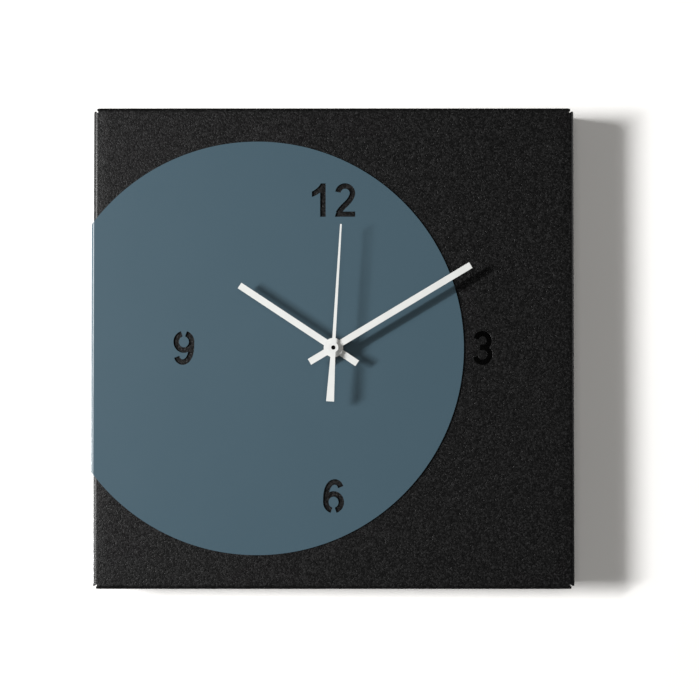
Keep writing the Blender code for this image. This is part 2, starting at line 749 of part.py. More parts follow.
cannon_phase = 0.0
cannon = gear(CANNON_TEETH, CANNON_MODULE, cannon_phase, depth(3.1), depth(3.9), True)
cannon_tube = turned(
    (
        (MINUTE_HAND_Y - 0.45, 0.6),
        (MINUTE_HAND_Y - 0.45, 1.6),
        (depth(3.95), 1.6),
        (depth(3.95), 1.3),
        (depth(5.4), 1.3),
        (depth(5.4), 0.6),
    ),
    24,
)
cannon_bore = prism(circle(0.6, 24), -60, -20)
combined(cannon, add=(cannon_tube,), cut=(cannon_bore,))
finished(cannon, "cannon_pinion", gear_plastic)

minute_pinion_phase = 0.0
minute_wheel_phase = in_mesh(cannon_phase, CANNON_TEETH, SETTING_DIRECTION, MINUTE_TEETH)
minute_wheel = gear(MINUTE_TEETH, CANNON_MODULE, minute_wheel_phase, depth(3.1), depth(3.9))
minute_pinion = gear(MINUTE_PINION_TEETH, HOUR_MODULE, minute_pinion_phase, depth(1.7), depth(3.3), True)
minute_bore = prism(circle(0.75, 16), depth(0), depth(6))
combined(minute_wheel, add=(minute_pinion,), cut=(minute_bore,))
finished(minute_wheel, "minute_wheel", gear_plastic, MINUTE_AT)

hour_phase = in_mesh(minute_pinion_phase, MINUTE_PINION_TEETH, SETTING_DIRECTION + 180, HOUR_TEETH)
hour_wheel = gear(HOUR_TEETH, HOUR_MODULE, hour_phase, depth(1.7), depth(2.7))
hour_tube = turned(
    (
        (HOUR_HAND_Y - 0.45, 1.72),
        (HOUR_HAND_Y - 0.45, 2.5),
        (depth(2.2), 2.5),
        (depth(2.2), 1.72),
    ),
    28,
)
hour_bore = prism(circle(1.72, 28), -60, -20)
combined(hour_wheel, add=(hour_tube,), cut=(hour_bore,))
finished(hour_wheel, "hour_wheel", gear_plastic)

knob_direction = SETTING_DIRECTION
knob_phase = in_mesh(minute_wheel_phase, MINUTE_TEETH, knob_direction, KNOB_TEETH)
knob = gear(KNOB_TEETH, CANNON_MODULE, knob_phase, depth(3.1), depth(4.1), True)
knob_shaft = turned(
    (
        (depth(1.3), 0),
        (depth(1.3), 1.0),
        (depth(17.0), 1.0),
        (depth(17.0), 0),
    ),
    16,
)
grip = []
for k in range(24):
    grip.append(along(SHAFT, 4.6, 15.0 * k - 3))
    grip.append(along(SHAFT, 4.6, 15.0 * k + 3))
    grip.append(along(SHAFT, 4.2, 15.0 * k + 7.5))
knob_cap = prism(grip, depth(16.4), depth(19.4))
knob_dish = turned(((depth(18.9), 0), (depth(18.9), 3.0), (depth(22), 3.4), (depth(22), 0)), 24)
combined(knob, add=(knob_shaft, knob_cap), cut=(knob_dish,))
finished(knob, "set_knob", white_plastic, KNOB_AT)


# Electronics and battery

circuit = prism(rectangle(4.0, 25.9, 16.2, 25.9), depth(12.2), depth(13.0))
combined(circuit, cut=[prism(circle(0.85, 16, at), depth(10), depth(15)) for at in BOARD_POSTS])
finished(circuit, "circuit_board", board)
screw(BOARD_POSTS[0], 13.1, 9.0, "board_screw_left", steel)
screw(BOARD_POSTS[1], 13.1, 9.0, "board_screw_right", steel)
blob = turned(
    (
        (depth(13.1), 0),
        (depth(13.1), 2.6),
        (depth(13.4), 2.4),
        (depth(13.8), 1.5),
        (depth(13.95), 0),
    ),
    24,
    "Y",
    (14.5, 20.5),
)
finished(blob, "clock_chip", resin)
crystal = turned(
    (
        (9.6, 0),
        (9.6, 0.75),
        (9.8, 0.9),
        (15.0, 0.9),
        (15.0, 0),
    ),
    16,
    "X",
    (depth(11.1), 19.6),
)
crystal_legs = []
for z in (19.3, 19.9):
    bend = [(14.6, depth(11.1)), (16.2, depth(11.1)), (16.2, depth(12.15))]
    crystal_legs.append(prism(ribbon(bend, 0.24), z - 0.1, z + 0.1, "Z"))
combined(crystal, add=crystal_legs)
finished(crystal, "quartz_crystal", nickel)

battery = turned(
    (
        (-24.3, 0),
        (-24.3, 3.2),
        (-24.1, 3.4),
        (-24.1, 6.3),
        (-24.3, 6.6),
        (-24.0, 7.1),
        (23.8, 7.1),
        (24.1, 6.7),
        (23.9, 6.3),
        (23.9, 3.4),
        (24.2, 2.8),
        (25.7, 2.7),
        (25.9, 2.3),
        (25.9, 0),
    ),
    24,
    "X",
    (depth(BATTERY_DEPTH), BATTERY_HEIGHT),
)
finished(battery, "battery", cell_wrap)

plus_plate = prism(rectangle(26.1, 26.5, -23.0, -14.5), depth(5.0), depth(12.0))
plus_arm = prism(rectangle(26.1, 26.5, -15.0, 20.5), depth(10.9), depth(11.9))
plus_tab = prism(rectangle(24.8, 26.5, 18.5, 20.5), depth(11.7), depth(12.1))
combined(plus_plate, add=(plus_arm, plus_tab))
finished(plus_plate, "battery_positive_contact", nickel)
minus_plate = prism(rectangle(-26.5, -26.1, -23.0, -14.5), depth(5.0), depth(12.0))
minus_arm = prism(
    [(-26.5, -15), (-26.1, -15), (-26.1, 26.1), (11, 26.1), (11, 26.5), (-26.5, 26.5)],
    depth(10.9),
    depth(11.9),
)
minus_tab = prism(rectangle(9.0, 11.0, 25.0, 26.5), depth(11.7), depth(12.1))
combined(minus_plate, add=(minus_arm, minus_tab))
finished(minus_plate, "battery_negative_contact", nickel)

coil_curve = bpy.data.curves.new("spring", "CURVE")
coil_curve.dimensions = "3D"
coil_curve.bevel_depth = 0.22 * MM
coil_curve.bevel_resolution = 1
coil_curve.use_fill_caps = True
wire = coil_curve.splines.new("POLY")
spring_points = 34
wire.points.add(spring_points - 1)
for k in range(spring_points):
    share = k / (spring_points - 1)
    radius = 4.6 - 2.3 * share
    turn = 2 * math.pi * 2.5 * share
    x = -25.8 + 1.2 * share
    y = depth(BATTERY_DEPTH) + radius * math.cos(turn)
    z = BATTERY_HEIGHT + radius * math.sin(turn)
    wire.points[k].co = (x * MM, y * MM, z * MM, 1.0)
wire_object = linked("wire", coil_curve)
spring_mesh = evaluated(wire_object)
bpy.data.objects.remove(wire_object)
work = bmesh.new()
work.from_mesh(spring_mesh)
bmesh.ops.remove_doubles(work, verts=work.verts, dist=1e-6)
spring = from_bmesh("spring", work)
finished(spring, "battery_spring", nickel)


# Hands: each a flat blade cut across at both ends, with a round hub and a collet behind it


def hand(outline, hub_radius, front, collet_back, collet_radius, bore, clock_angle):
    blade = prism(turned_about(outline, -clock_angle), front - HAND_SHEET, front)
    hub = prism(circle(hub_radius, 48), front - HAND_SHEET, front)
    collet = turned(
        ((front - 0.2, 0), (front - 0.2, collet_radius), (collet_back, collet_radius), (collet_back, 0)),
        28,
    )
    hole = prism(circle(bore, 28), -70, -30)
    return combined(blade, add=(hub, collet), cut=(hole,))


hour_outline = rectangle(-BLADE / 2, BLADE / 2, -HOUR_TAIL, HOUR_REACH)
hour_hand = hand(hour_outline, HUB_RADIUS, HOUR_HAND_Y, -47.6, 3.3, 2.56, HOUR_ANGLE)
finished(hour_hand, "hour_hand", white_paint)
minute_outline = rectangle(-BLADE / 2, BLADE / 2, -MINUTE_TAIL, MINUTE_REACH)
minute_hand = hand(minute_outline, HUB_RADIUS, MINUTE_HAND_Y, -51.6, 2.4, 1.66, MINUTE_ANGLE)
finished(minute_hand, "minute_hand", white_paint)
second_outline = [
    (-0.6, SECOND_REACH),
    (-1.25, 0.0),
    (-1.6, -3.0),
    (-2.85, -SECOND_TAIL),
    (2.85, -SECOND_TAIL),
    (1.6, -3.0),
    (1.25, 0.0),
    (0.6, SECOND_REACH),
]
second_hand = hand(second_outline, 3.6, SECOND_HAND_Y, -54.1, 1.9, 0.53, SECOND_ANGLE)
cup = prism(circle(1.4, 24), -60, SECOND_HAND_Y + 0.9)
combined(second_hand, cut=(cup,))
finished(second_hand, "second_hand", white_paint)
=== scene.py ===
"""The square wall clock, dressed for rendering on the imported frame. Metres, +Z up, dial facing -Y."""

import math

import bmesh
import bpy
from mathutils import Matrix, Vector


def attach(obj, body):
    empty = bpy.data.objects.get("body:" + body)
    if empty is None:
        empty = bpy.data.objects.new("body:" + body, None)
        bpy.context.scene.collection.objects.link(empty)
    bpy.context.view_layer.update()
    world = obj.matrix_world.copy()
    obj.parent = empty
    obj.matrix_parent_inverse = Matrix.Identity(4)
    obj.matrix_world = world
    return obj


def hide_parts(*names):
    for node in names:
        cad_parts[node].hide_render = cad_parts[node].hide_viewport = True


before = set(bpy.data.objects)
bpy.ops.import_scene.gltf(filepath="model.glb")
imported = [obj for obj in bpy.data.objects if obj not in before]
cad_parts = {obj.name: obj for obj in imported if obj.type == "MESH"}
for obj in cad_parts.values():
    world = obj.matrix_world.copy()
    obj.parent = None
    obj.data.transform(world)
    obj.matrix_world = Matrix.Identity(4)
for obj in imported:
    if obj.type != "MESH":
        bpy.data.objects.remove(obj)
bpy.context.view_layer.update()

MM = 0.001

# Millimetres, degrees and counts. X and Z run from the dial's centre, and Y from the housing's rear edge
SIDE = 350.0
DEPTH = 40.0
SHEET = 1.5
BEND_OUTER = 3.3
CORNER_RELIEF = 0.2
FLANGE_END = 172.9
FLANGE_STEP = 0.6
HANG_HEIGHT = 158.0
DISC_RADIUS = 150.0
DISC_X = -55.5
DISC_SHEET = 1.0
DISC_BEND_OUTER = 2.5
STACK_GAP = 0.1
EDGE = 0.12
FOLD_STEPS = 14
BOW_STEPS = 6
BOW_REACH = 13.0
BOW_DROP = 0.55
NUMERAL_RISE = 107.4
NUMERAL_REACH = 108.6
STROKE = 4.0
BRIDGE_HALF_ANGLE = 15.5
HOUR_ANGLE = 303.5
MINUTE_ANGLE = 59.0
SECOND_ANGLE = 3.5
BLADE = 4.8
HUB_RADIUS = 6.95
HAND_SHEET = 0.5
HOUR_REACH = 81.0
HOUR_TAIL = 20.5
MINUTE_REACH = 115.0
MINUTE_TAIL = 20.0
SECOND_REACH = 88.6
SECOND_TAIL = 38.6
HOUR_HAND_Y = -50.6
MINUTE_HAND_Y = -53.0
SECOND_HAND_Y = -56.1
HOUR_COLLET_BACK = -47.6
MINUTE_COLLET_BACK = -51.6
SECOND_COLLET_BACK = -54.1
SECOND_HUB_RADIUS = 3.6
CASE_FRONT = -37.4
CASE_HALF = 28.0
CASE_WALL = 1.2
CASE_DEPTH = 14.3
BAY_DEPTH = 16.0
BAY_TOP = -11.5
TRAIN_FLOOR = -10.6
BATTERY_HEIGHT = -19.0
BATTERY_DEPTH = 8.6
BUSH_RADIUS = 4.0
BUSH_BORE = 2.6
BUSH_TIP = -46.4
THREADS = 8
WASHER_SHEET = 0.6
NUT_HEIGHT = 2.4
NUT_CORNER = 7.5
SHAFT = (0.0, 0.0)
KNOB_AT = (0.0, 16.8)
RIVET_X = 17.0
RIVET_Y = -14.0
RIVET_HOLE = 2.15
RIVET_HEAD = 3.6
HANGER_SHEET = 1.2
HANGER_HALF = 25.0
KEYHOLE_RADIUS = 4.6
KEYHOLE_DROP = 9.0
SLOT_HALF = 2.3
WINDING_PITCH = 0.22
SPRING_POINTS = 120
FRONT = -DEPTH
WALL_GAP = 0.6
PATCH_INSET = 2.0

# Metres, and a share of full white
FADE_START = 0.40
FADE_END = 0.95
SKY_LIGHT = 0.06

pieces = bpy.data.collections.new("clock_pieces")
bpy.context.scene.collection.children.link(pieces)


# Shapes


def along(start, reach, degrees):
    turn = math.radians(degrees)
    return (start[0] + reach * math.cos(turn), start[1] + reach * math.sin(turn))


def depth(back):
    return CASE_FRONT + back


def linked(name, mesh):
    made = bpy.data.objects.new(name, mesh)
    pieces.objects.link(made)
    return made


def from_bmesh(name, work):
    bmesh.ops.recalc_face_normals(work, faces=work.faces)
    mesh = bpy.data.meshes.new(name)
    work.to_mesh(mesh)
    work.free()
    return linked(name, mesh)


def in_space(axis, level, u, v):
    if axis == "Y":
        return (u * MM, level * MM, v * MM)
    if axis == "X":
        return (level * MM, u * MM, v * MM)
    return (u * MM, v * MM, level * MM)


def prism(outline, low, high, axis="Y", name="blank"):
    work = bmesh.new()
    rings = []
    for level in (low, high):
        rings.append([work.verts.new(in_space(axis, level, u, v)) for u, v in outline])
    work.faces.new(rings[0])
    work.faces.new(rings[1])
    count = len(outline)
    for i in range(count):
        j = (i + 1) % count
        work.faces.new((rings[0][i], rings[0][j], rings[1][j], rings[1][i]))
    return from_bmesh(name, work)


def turned(profile, steps, axis="Y", centre=(0.0, 0.0), name="blank"):
    work = bmesh.new()
    rings = []
    for place, radius in profile:
        if radius == 0.0:
            rings.append([work.verts.new(in_space(axis, place, *centre))])
            continue
        ring = []
        for k in range(steps):
            u, v = along(centre, radius, 360.0 * k / steps)
            ring.append(work.verts.new(in_space(axis, place, u, v)))
        rings.append(ring)
    for first, second in zip(rings, rings[1:] + rings[:1]):
        if len(first) == 1 and len(second) == 1:
            continue
        for k in range(steps):
            n = (k + 1) % steps
            corners = [first[k % len(first)], first[n % len(first)]]
            corners += [second[n % len(second)], second[k % len(second)]]
            kept = [c for i, c in enumerate(corners) if c not in corners[:i]]
            work.faces.new(kept)
    return from_bmesh(name, work)


def circle(radius, steps, centre=(0.0, 0.0), first=0.0):
    return [along(centre, radius, first + 360.0 * k / steps) for k in range(steps)]


def rectangle(left, right, bottom, top, radius=0.0, steps=6):
    if radius == 0.0:
        return [(left, bottom), (right, bottom), (right, top), (left, top)]
    points = []
    corners = ((right, top, 0), (left, top, 90), (left, bottom, 180), (right, bottom, 270))
    for x, z, start in corners:
        centre_x = x - math.copysign(radius, x - (left + right) / 2)
        centre_z = z - math.copysign(radius, z - (bottom + top) / 2)
        for k in range(steps + 1):
            points.append(along((centre_x, centre_z), radius, start + 90.0 * k / steps))
    return points


def ellipse_arc(centre, across, up, start, end, steps):
    points = []
    for k in range(steps + 1):
        turn = math.radians(start + (end - start) * k / steps)
        points.append((centre[0] + across * math.cos(turn), centre[1] + up * math.sin(turn)))
    return points


def smoothed(points, rounds=2):
    """Corner-cutting that keeps both ends, for a path given by few points."""
    for _ in range(rounds):
        finer = [points[0]]
        for a, b in zip(points, points[1:]):
            finer.append((0.75 * a[0] + 0.25 * b[0], 0.75 * a[1] + 0.25 * b[1]))
            finer.append((0.25 * a[0] + 0.75 * b[0], 0.25 * a[1] + 0.75 * b[1]))
        finer.append(points[-1])
        points = finer
    return points


def ribbon(path, width):
    left, right = [], []
    for i, (x, z) in enumerate(path):
        before = path[max(i - 1, 0)]
        after = path[min(i + 1, len(path) - 1)]
        ways = []
        for a, b in ((before, (x, z)), ((x, z), after)):
            long = math.hypot(b[0] - a[0], b[1] - a[1])
            if long > 0:
                ways.append(((b[0] - a[0]) / long, (b[1] - a[1]) / long))
        across = (-sum(w[1] for w in ways), sum(w[0] for w in ways))
        size = math.hypot(*across)
        across = (across[0] / size, across[1] / size)
        lean = -ways[0][1] * across[0] + ways[0][0] * across[1]
        reach = width / 2 / lean
        left.append((x + across[0] * reach, z + across[1] * reach))
        right.append((x - across[0] * reach, z - across[1] * reach))
    return left + right[::-1]


def shifted(points, x, z):
    return [(u + x, v + z) for u, v in points]


def turned_about(points, degrees):
    turn = math.radians(degrees)
    c, s = math.cos(turn), math.sin(turn)
    return [(u * c - v * s, u * s + v * c) for u, v in points]


def evaluated(shape):
    graph = bpy.context.evaluated_depsgraph_get()
    graph.update()
    return bpy.data.meshes.new_from_object(shape.evaluated_get(graph))


def combined(base, add=(), cut=(), keep=()):
    jobs = [(shape, "UNION") for shape in add] + [(shape, "DIFFERENCE") for shape in cut]
    jobs += [(shape, "INTERSECT") for shape in keep]
    for shape, operation in jobs:
        step = base.modifiers.new(operation.title(), "BOOLEAN")
        step.operation = operation
        step.solver = "EXACT"
        step.object = shape
    mesh = evaluated(base)
    base.modifiers.clear()
    base.data = mesh
    for shape, _ in jobs:
        bpy.data.objects.remove(shape)
    return base


def folded(shape, bend_line, outer_radius, sheet, front, sides):
    middle = outer_radius - sheet / 2
    arc = middle * math.pi / 2
    work = bmesh.new()
    work.from_mesh(shape.data)
    for axis, sign in sides:
        for k in range(FOLD_STEPS + 1):
            place = (bend_line + arc * k / FOLD_STEPS) * sign * MM
            point = (place, 0, 0) if axis == 0 else (0, 0, place)
            normal = (1, 0, 0) if axis == 0 else (0, 0, 1)
            everything = list(work.verts) + list(work.edges) + list(work.faces)
            bmesh.ops.bisect_plane(work, geom=everything, dist=1e-7, plane_co=point, plane_no=normal)
    for vert in work.verts:
        x, y, z = vert.co.x / MM, vert.co.y / MM, vert.co.z / MM
        axis = 0 if abs(x) > abs(z) else 1
        place = x if axis == 0 else z
        sign = math.copysign(1, place)
        past = abs(place) - bend_line
        if past <= 1e-6 or (axis, int(sign)) not in sides:
            continue
        inward = y - front
        radius = outer_radius - inward
        turn = min(past, arc) / middle
        out = bend_line + radius * math.sin(turn)
        back = front + outer_radius - radius * math.cos(turn) + max(past - arc, 0.0)
        if axis == 0:
            vert.co.x = out * sign * MM
        else:
            vert.co.z = out * sign * MM
        vert.co.y = back * MM
    work.to_mesh(shape.data)
    work.free()
    return shape


def bowed(shape, half, reach, drop):
    """Ease a folded sheet's front back toward its left and right bends, for a soft highlight there."""
    work = bmesh.new()
    work.from_mesh(shape.data)
    for sign in (-1, 1):
        for k in range(BOW_STEPS + 1):
            place = sign * (half - reach * k / BOW_STEPS) * MM
            everything = list(work.verts) + list(work.edges) + list(work.faces)
            plane = {"plane_co": (place, 0, 0), "plane_no": (1, 0, 0)}
            bmesh.ops.bisect_plane(work, geom=everything, dist=1e-7, **plane)
    for vert in work.verts:
        nearness = 1 - (half - abs(vert.co.x) / MM) / reach
        ahead = vert.co.y / MM / FRONT
        if nearness > 0:
            vert.co.y += drop * nearness**2 * ahead * MM
    work.to_mesh(shape.data)
    work.free()
    return shape


def rounded(shape, edge, segments, angle):
    bevel = shape.modifiers.new("Edges", "BEVEL")
    bevel.width = edge * MM
    bevel.segments = segments
    bevel.limit_method = "ANGLE"
    bevel.angle_limit = math.radians(angle)
    bevel.use_clamp_overlap = True


def dressed(
    shape, name, finish, body, nodes, centre=SHAFT, edge=EDGE, segments=2, angle=35.0, crisp=False
):
    """Round a shape's edges, finish it, put it in place, and let it stand for its CAD nodes."""
    shape.name = name
    shape.data.name = name
    shape.data.materials.clear()
    shape.data.materials.append(finish)
    shape.data.shade_smooth()
    shape.data.transform(Matrix.Translation((centre[0] * MM, 0.0, (centre[1] - HANG_HEIGHT) * MM)))
    if edge:
        rounded(shape, edge, segments, angle)
    if crisp:
        shape.data.set_sharp_from_angle(angle=math.radians(angle))
    normals = shape.modifiers.new("Normals", "WEIGHTED_NORMAL")
    normals.mode = "FACE_AREA"
    normals.keep_sharp = crisp
    normals.weight = 80
    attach(shape, body)
    if nodes:
        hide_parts(*nodes)
    return shape


# Finishes: every one is built from procedural textures in the piece's own coordinates


def new_finish(name):
    made = bpy.data.materials.new(name)
    made.use_nodes = True
    tree = made.node_tree
    shader = tree.nodes["Principled BSDF"]
    place = tree.nodes.new("ShaderNodeTexCoord")
    return made, tree, shader, place.outputs["Object"]


def noise(tree, place, size, detail=3.0, rough=0.5, stretch=None):
    """Noise whose features are about this many millimetres across."""
    if stretch:
        mapping = tree.nodes.new("ShaderNodeMapping")
        mapping.inputs["Scale"].default_value = stretch
        tree.links.new(place, mapping.inputs["Vector"])
        place = mapping.outputs["Vector"]
    made = tree.nodes.new("ShaderNodeTexNoise")
    made.inputs["Scale"].default_value = 1.0 / (size * MM)
    made.inputs["Detail"].default_value = detail
    made.inputs["Roughness"].default_value = rough
    tree.links.new(place, made.inputs["Vector"])
    return made.outputs["Fac"]


def ramp(tree, source, stops):
    made = tree.nodes.new("ShaderNodeValToRGB")
    made.color_ramp.elements[0].position = stops[0][0]
    made.color_ramp.elements[0].color = (*stops[0][1], 1)
    made.color_ramp.elements[1].position = stops[-1][0]
    made.color_ramp.elements[1].color = (*stops[-1][1], 1)
    for place, colour in stops[1:-1]:
        made.color_ramp.elements.new(place).color = (*colour, 1)
    tree.links.new(source, made.inputs["Fac"])
    return made.outputs["Color"]


def spread(tree, source, low, high):
    """A texture's middle range stretched to run between two values."""
    made = tree.nodes.new("ShaderNodeMapRange")
    made.inputs["From Min"].default_value = 0.3
    made.inputs["From Max"].default_value = 0.7
    made.inputs["To Min"].default_value = low
    made.inputs["To Max"].default_value = high
    tree.links.new(source, made.inputs["Value"])
    return made.outputs["Result"]


def blended(tree, factor, first, second, mode="MIX"):
    made = tree.nodes.new("ShaderNodeMix")
    made.data_type = "RGBA"
    made.blend_type = mode
    sockets = {s.identifier: s for s in made.inputs}
    for key, value in (("Factor_Float", factor), ("A_Color", first), ("B_Color", second)):
        if isinstance(value, bpy.types.NodeSocket):
            tree.links.new(value, sockets[key])
        elif key == "Factor_Float":
            sockets[key].default_value = value
        else:
            sockets[key].default_value = (*value, 1)
    return {s.identifier: s for s in made.outputs}["Result_Color"]


def bumped(tree, shader, layers):
    """Bump layers, each (texture, height in millimetres, strength)."""
    last = None
    for source, height, strength in layers:
        made = tree.nodes.new("ShaderNodeBump")
        made.inputs["Distance"].default_value = height * MM
        made.inputs["Strength"].default_value = strength
        tree.links.new(source, made.inputs["Height"])
        if last:
            tree.links.new(last, made.inputs["Normal"])
        last = made.outputs["Normal"]
    tree.links.new(last, shader.inputs["Normal"])


def maths(tree, operation, *values):
    made = tree.nodes.new("ShaderNodeMath")
    made.operation = operation
    for socket, value in zip(made.inputs, values):
        if isinstance(value, bpy.types.NodeSocket):
            tree.links.new(value, socket)
        else:
            socket.default_value = value
    return made.outputs["Value"]


def grains(tree, place, size):
    """Packed grains: a random value for each, and a dome over each."""
    made = tree.nodes.new("ShaderNodeTexVoronoi")
    made.inputs["Scale"].default_value = 1.0 / (size * MM)
    tree.links.new(place, made.inputs["Vector"])
    split = tree.nodes.new("ShaderNodeSeparateColor")
    tree.links.new(made.outputs["Color"], split.inputs["Color"])
    return split.outputs["Red"], maths(tree, "SUBTRACT", 1.0, made.outputs["Distance"])


def powder_coat():
    made, tree, shader, place = new_finish("powder_coat_black")
    value, dome = grains(tree, place, 1.0)
    small, low_dome = grains(tree, place, 0.6)
    broad = noise(tree, place, 60.0, 2.0)
    speckle = maths(tree, "MULTIPLY", maths(tree, "ADD", value, small), 0.5)
    stops = (
        (0.15, (0.0006, 0.0006, 0.0007)),
        (0.6, (0.0045, 0.0045, 0.0046)),
        (0.95, (0.020, 0.020, 0.0205)),
    )
    ground = ramp(tree, speckle, stops)
    aged = blended(tree, spread(tree, broad, 0.0, 0.12), ground, (0.006, 0.0058, 0.0056))
    tree.links.new(aged, shader.inputs["Base Color"])
    tree.links.new(maths(tree, "MULTIPLY_ADD", value, 0.12, 0.35), shader.inputs["Roughness"])
    shader.inputs["Specular IOR Level"].default_value = 0.30
    bumped(tree, shader, ((dome, 0.10, 0.8), (value, 0.04, 0.7), (low_dome, 0.03, 0.7)))
    return made


def satin_paint():
    made, tree, shader, place = new_finish("satin_paint_blue")
    broad = noise(tree, place, 45.0, 3.0)
    peel = noise(tree, place, 1.6, 2.0)
    grain = noise(tree, place, 0.35, 2.0)
    tone = ramp(tree, broad, ((0.25, (0.0430, 0.0803, 0.1060)), (0.75, (0.0446, 0.0824, 0.1087))))
    dusty = blended(tree, spread(tree, grain, 0.0, 0.03), tone, (0.11, 0.16, 0.18))
    tree.links.new(dusty, shader.inputs["Base Color"])
    tree.links.new(spread(tree, peel, 0.355, 0.395), shader.inputs["Roughness"])
    bumped(tree, shader, ((peel, 0.008, 0.3), (grain, 0.003, 0.3)))
    return made


def white_paint():
    made, tree, shader, place = new_finish("matt_paint_white")
    broad = noise(tree, place, 9.0, 2.0)
    grain = noise(tree, place, 0.25, 2.0)
    tone = ramp(tree, broad, ((0.3, (0.62, 0.632, 0.62)), (0.7, (0.66, 0.67, 0.66))))
    tree.links.new(tone, shader.inputs["Base Color"])
    tree.links.new(spread(tree, grain, 0.38, 0.5), shader.inputs["Roughness"])
    bumped(tree, shader, ((grain, 0.004, 0.3),))
    return made


def metal(name, dark, light, rough_low, rough_high, brushed=(1, 1, 1), grain=0.6):
    made, tree, shader, place = new_finish(name)
    lines = noise(tree, place, grain, 4.0, 0.6, brushed)
    patches = noise(tree, place, 7.0, 2.0)
    tone = ramp(tree, patches, ((0.3, dark), (0.7, light)))
    tree.links.new(blended(tree, spread(tree, lines, 0.0, 0.35), tone, dark), shader.inputs["Base Color"])
    tree.links.new(spread(tree, lines, rough_low, rough_high), shader.inputs["Roughness"])
    shader.inputs["Metallic"].default_value = 1.0
    bumped(tree, shader, ((lines, 0.01, 0.25),))
    return made


def plastic(name, dark, light, rough_low, rough_high, texture=0.35, height=0.012):
    made, tree, shader, place = new_finish(name)
    skin = noise(tree, place, texture, 3.0, 0.6)
    flow = noise(tree, place, 14.0, 2.0)
    tree.links.new(ramp(tree, flow, ((0.3, dark), (0.7, light))), shader.inputs["Base Color"])
    tree.links.new(spread(tree, skin, rough_low, rough_high), shader.inputs["Roughness"])
    bumped(tree, shader, ((skin, height, 0.4),))
    return made


def wound_wire():
    made, tree, shader, place = new_finish("wound_copper")
    turns = tree.nodes.new("ShaderNodeTexWave")
    turns.bands_direction = "X"
    turns.inputs["Scale"].default_value = 1.0 / (WINDING_PITCH * MM) / math.tau
    turns.inputs["Distortion"].default_value = 0.6
    tree.links.new(place, turns.inputs["Vector"])
    # The bands draw the wire turns, and the grooves between the turns are painted darker: painted shade in
    # the creases between wires
    tone = ramp(tree, turns.outputs["Fac"], ((0.1, (0.16, 0.045, 0.015)), (0.8, (0.62, 0.24, 0.11))))
    tree.links.new(tone, shader.inputs["Base Color"])
    shader.inputs["Metallic"].default_value = 0.9
    tree.links.new(spread(tree, noise(tree, place, 0.8), 0.25, 0.42), shader.inputs["Roughness"])
    bumped(tree, shader, ((turns.outputs["Fac"], 0.06, 0.7),))
    return made


def circuit_green():
    made, tree, shader, place = new_finish("circuit_board_green")
    tracks = tree.nodes.new("ShaderNodeTexBrick")
    tracks.inputs["Scale"].default_value = 260.0
    tracks.inputs["Mortar Size"].default_value = 0.035
    tracks.inputs["Color1"].default_value = (0.012, 0.085, 0.035, 1)
    tracks.inputs["Color2"].default_value = (0.016, 0.10, 0.042, 1)
    tracks.inputs["Mortar"].default_value = (0.05, 0.22, 0.09, 1)
    turn = tree.nodes.new("ShaderNodeMapping")
    turn.inputs["Rotation"].default_value = (math.radians(90), 0, 0)
    tree.links.new(place, turn.inputs["Vector"])
    tree.links.new(turn.outputs["Vector"], tracks.inputs["Vector"])
    tree.links.new(tracks.outputs["Color"], shader.inputs["Base Color"])
    weave = noise(tree, place, 0.5, 3.0)
    tree.links.new(spread(tree, weave, 0.3, 0.45), shader.inputs["Roughness"])
    bumped(tree, shader, ((weave, 0.01, 0.3), (tracks.outputs["Fac"], 0.03, 0.4)))
    return made


def cell_film():
    """A plain film with one band, on a steel can whose ends are bare."""
    made, tree, shader, place = new_finish("battery_film")
    split = tree.nodes.new("ShaderNodeSeparateXYZ")
    tree.links.new(place, split.inputs["Vector"])
    x = maths(tree, "MULTIPLY", split.outputs["X"], 1000.0)
    spans = []
    for start, end in ((9.0, 22.6), (-23.3, 23.3)):
        past = maths(tree, "GREATER_THAN", x, start)
        spans.append(maths(tree, "MULTIPLY", past, maths(tree, "LESS_THAN", x, end)))
    band, inside = spans
    scuff = noise(tree, place, 3.0, 4.0, 0.65)
    film = blended(tree, band, (0.34, 0.35, 0.36), (0.02, 0.10, 0.16))
    worn = blended(tree, spread(tree, scuff, 0.0, 0.12), film, (0.3, 0.3, 0.3))
    tree.links.new(blended(tree, inside, (0.62, 0.62, 0.63), worn), shader.inputs["Base Color"])
    tree.links.new(maths(tree, "SUBTRACT", 1.0, inside), shader.inputs["Metallic"])
    tree.links.new(spread(tree, scuff, 0.2, 0.36), shader.inputs["Roughness"])
    bumped(tree, shader, ((scuff, 0.01, 0.25),))
    return made


black_coat = powder_coat()
blue_coat = satin_paint()
hand_white = white_paint()
zinc = metal("zinc_plate", (0.42, 0.43, 0.44), (0.6, 0.61, 0.62), 0.28, 0.5, grain=2.5)
steel = metal("bright_steel", (0.4, 0.4, 0.41), (0.56, 0.56, 0.57), 0.22, 0.4)
brass = metal("turned_brass", (0.42, 0.27, 0.10), (0.62, 0.43, 0.18), 0.22, 0.42, (1, 6, 1))
nickel = metal("nickel_plate", (0.46, 0.44, 0.4), (0.62, 0.6, 0.56), 0.2, 0.36, (1, 1, 5))
core_steel = metal("silicon_steel", (0.3, 0.31, 0.33), (0.44, 0.45, 0.47), 0.32, 0.5, (6, 1, 1))
case_black = plastic("case_plastic_black", (0.013, 0.013, 0.014), (0.02, 0.02, 0.021), 0.42, 0.6)
gear_cream = plastic("acetal_cream", (0.66, 0.63, 0.53), (0.74, 0.71, 0.62), 0.3, 0.42, 0.5, 0.006)
part_white = plastic("plastic_white", (0.68, 0.68, 0.66), (0.76, 0.76, 0.74), 0.36, 0.5)
amber = plastic("bobbin_amber", (0.36, 0.2, 0.05), (0.46, 0.28, 0.09), 0.28, 0.42)
rubber = plastic("gasket_rubber", (0.012, 0.012, 0.012), (0.02, 0.02, 0.02), 0.7, 0.9, 0.6, 0.03)
ferrite = plastic("ferrite_dark", (0.05, 0.05, 0.055), (0.085, 0.085, 0.09), 0.45, 0.65, 0.25, 0.02)
